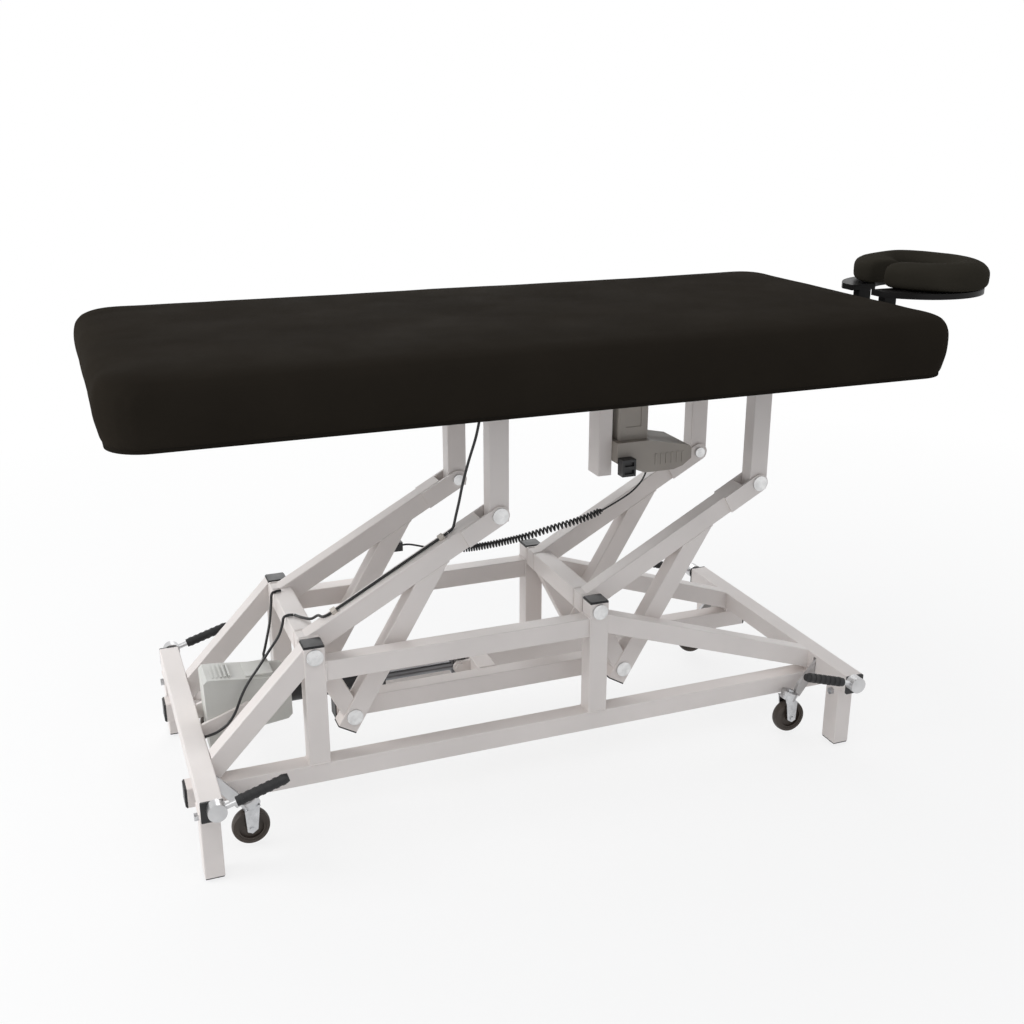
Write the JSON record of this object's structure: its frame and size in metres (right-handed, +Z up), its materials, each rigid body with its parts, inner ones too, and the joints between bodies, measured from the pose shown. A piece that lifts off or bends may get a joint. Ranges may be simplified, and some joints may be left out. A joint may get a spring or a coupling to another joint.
{
  "type": "treatment table",
  "caption": "Electric treatment table: padded top on a parallel-arm lift frame with an actuator, lever-lowered casters and an adjustable face cradle.",
  "frame": {"origin": "middle of the whole outline on the floor, under the feet", "axes": "+X towards the face cradle, +Y towards the far side, +Z up"},
  "size_m": [2.152, 0.86, 1.1112],
  "materials": {
    "white_frame": "white powder coat with a fine orange-peel surface",
    "black_plastic": "moulded black plastic",
    "foot_rubber": "black rubber",
    "zinc_steel": "bright zinc-plated steel",
    "lever_steel": "ground steel",
    "grip_rubber": "ribbed black rubber",
    "wheel_tyre": "dark worn caster rubber",
    "cable_rubber": "satin black cable jacket",
    "clip_plastic": "orange-brown plastic",
    "deck_ply": "dark covered plywood",
    "vinyl_top": "warm near-black vinyl with a fine grain",
    "vinyl_face": "warm near-black vinyl with a fine grain",
    "box_grey": "warm grey moulded plastic",
    "motor_grey": "pale grey moulded plastic",
    "actuator_black": "black enamel",
    "rod_steel": "dark burnished steel",
    "cradle_black": "black powder coat"
  },
  "bodies": {
    "base": {"left_end_beam": "white_frame", "right_end_beam": "white_frame", "beam_caps": "black_plastic", "legs": "white_frame", "foot_pads": "foot_rubber", "lower_rails": "white_frame", "frame_caps": "black_plastic", "uprights": "white_frame", "upper_rails": "white_frame", "braces": "white_frame", "actuator_bracket": "white_frame", "frame_bolts": "zinc_steel", "motor_cables": "cable_rubber"},
    "left_lift": {"left_cross_tube": "white_frame", "left_arms": "white_frame", "left_struts": "white_frame", "left_pins": "zinc_steel", "left_plugs": "black_plastic", "arm_cable": "cable_rubber", "cable_clips": "clip_plastic", "cord_socket": "black_plastic"},
    "right_lift": {"right_cross_tube": "white_frame", "right_arms": "white_frame", "right_struts": "white_frame", "right_pins": "zinc_steel", "right_plugs": "black_plastic"},
    "tie": {"tie_links": "white_frame", "tie_plugs": "black_plastic", "tie_cross_tube": "white_frame", "tie_lugs": "white_frame"},
    "upper": {"posts": "white_frame", "deck_rails": "white_frame", "deck_cross_rails": "white_frame", "deck_board": "deck_ply", "top_pad": "vinyl_top", "control_bracket": "white_frame", "control_box": "box_grey", "cord_fittings": "black_plastic", "table_cable": "cable_rubber", "curly_cord": "cable_rubber", "cradle_sockets": "cradle_black"},
    "cradle_arm": {"cradle_rods": "cradle_black"},
    "cradle_head": {"cradle_hinge": "cradle_black", "cradle_plate": "cradle_black", "cradle_pad": "vinyl_face"},
    "actuator": {"motor_housing": "motor_grey", "actuator_barrel": "actuator_black"},
    "rod": {"actuator_rod": "rod_steel"},
    "left_levers": {"left_lever_shaft": "lever_steel", "left_grips": "grip_rubber"},
    "right_levers": {"right_lever_shaft": "lever_steel", "right_grips": "grip_rubber"},
    "near_left_fork": {"near_left_fork": "zinc_steel"},
    "near_left_wheel": {"near_left_wheel": "wheel_tyre"},
    "far_left_fork": {"far_left_fork": "zinc_steel"},
    "far_left_wheel": {"far_left_wheel": "wheel_tyre"},
    "near_right_fork": {"near_right_fork": "zinc_steel"},
    "near_right_wheel": {"near_right_wheel": "wheel_tyre"},
    "far_right_fork": {"far_right_fork": "zinc_steel"},
    "far_right_wheel": {"far_right_wheel": "wheel_tyre"}
  },
  "joints": [
    {"name": "lift", "type": "hinge", "parent": "base", "child": "left_lift", "pos_m": [-0.6875, 0, 0.398], "axis": [0, -1, 0], "range_deg": [-39, 7], "deforming": ["motor_cables"]},
    {"name": "right_lift_turn", "type": "hinge", "parent": "base", "child": "right_lift", "pos_m": [-0.0395, 0, 0.398], "axis": [0, -1, 0], "range_deg": [-39, 7]},
    {"name": "tie_turn", "type": "hinge", "parent": "left_lift", "child": "tie", "pos_m": [-0.59603, 0, 0.21454], "axis": [0, -1, 0], "range_deg": [-7, 39]},
    {"name": "top_turn", "type": "hinge", "parent": "left_lift", "child": "upper", "pos_m": [-0.25806, 0, 0.63604], "axis": [0, -1, 0], "range_deg": [-7, 39], "deforming": ["table_cable", "curly_cord"]},
    {"name": "actuator_turn", "type": "hinge", "parent": "base", "child": "actuator", "pos_m": [-0.806, 0, 0.216], "axis": [0, -1, 0], "range_deg": [-6, 3]},
    {"name": "rod_slide", "type": "slide", "parent": "actuator", "child": "rod", "axis": [1, 0, 0], "range_m": [-0.15, 0.035]},
    {"name": "cradle_slide", "type": "slide", "parent": "upper", "child": "cradle_arm", "axis": [1, 0, 0], "range_m": [0, 0.06]},
    {"name": "cradle_tilt", "type": "hinge", "parent": "cradle_arm", "child": "cradle_head", "pos_m": [0.794, 0, 1.006], "axis": [0, 1, 0], "range_deg": [-10, 25]},
    {"name": "left_levers_turn", "type": "hinge", "parent": "base", "child": "left_levers", "pos_m": [-0.926, 0, 0.189], "axis": [0, 1, 0], "range_deg": [0, 20]},
    {"name": "right_levers_turn", "type": "hinge", "parent": "base", "child": "right_levers", "pos_m": [0.548, 0, 0.189], "axis": [0, -1, 0], "range_deg": [0, 20]},
    {"name": "near_left_swivel", "type": "hinge", "parent": "left_levers", "child": "near_left_fork", "pos_m": [-0.84567, -0.242, 0.10863], "axis": [-0.342, 0, 0.9397], "continuous": true},
    {"name": "near_left_roll", "type": "hinge", "parent": "near_left_fork", "child": "near_left_wheel", "pos_m": [-0.84599, -0.242, 0.05105], "axis": [0, 1, 0], "continuous": true},
    {"name": "far_left_swivel", "type": "hinge", "parent": "left_levers", "child": "far_left_fork", "pos_m": [-0.84567, 0.242, 0.10863], "axis": [-0.342, 0, 0.9397], "continuous": true},
    {"name": "far_left_roll", "type": "hinge", "parent": "far_left_fork", "child": "far_left_wheel", "pos_m": [-0.84599, 0.242, 0.05105], "axis": [0, 1, 0], "continuous": true},
    {"name": "near_right_swivel", "type": "hinge", "parent": "right_levers", "child": "near_right_fork", "pos_m": [0.46767, -0.242, 0.10863], "axis": [0.342, 0, 0.9397], "continuous": true},
    {"name": "near_right_roll", "type": "hinge", "parent": "near_right_fork", "child": "near_right_wheel", "pos_m": [0.46799, -0.242, 0.05105], "axis": [0, 1, 0], "continuous": true},
    {"name": "far_right_swivel", "type": "hinge", "parent": "right_levers", "child": "far_right_fork", "pos_m": [0.46767, 0.242, 0.10863], "axis": [0.342, 0, 0.9397], "continuous": true},
    {"name": "far_right_roll", "type": "hinge", "parent": "far_right_fork", "child": "far_right_wheel", "pos_m": [0.46799, 0.242, 0.05105], "axis": [0, 1, 0], "continuous": true}
  ],
  "couplings": [
    {"joint": "right_lift_turn", "follows": "lift", "ratio": 1},
    {"joint": "tie_turn", "follows": "lift", "ratio": -1},
    {"joint": "top_turn", "follows": "lift", "ratio": -1},
    {"joint": "actuator_turn", "follows": "lift", "ratio": 0.094},
    {"joint": "rod_slide", "follows": "lift", "m_per_rad": 0.196}
  ]
}
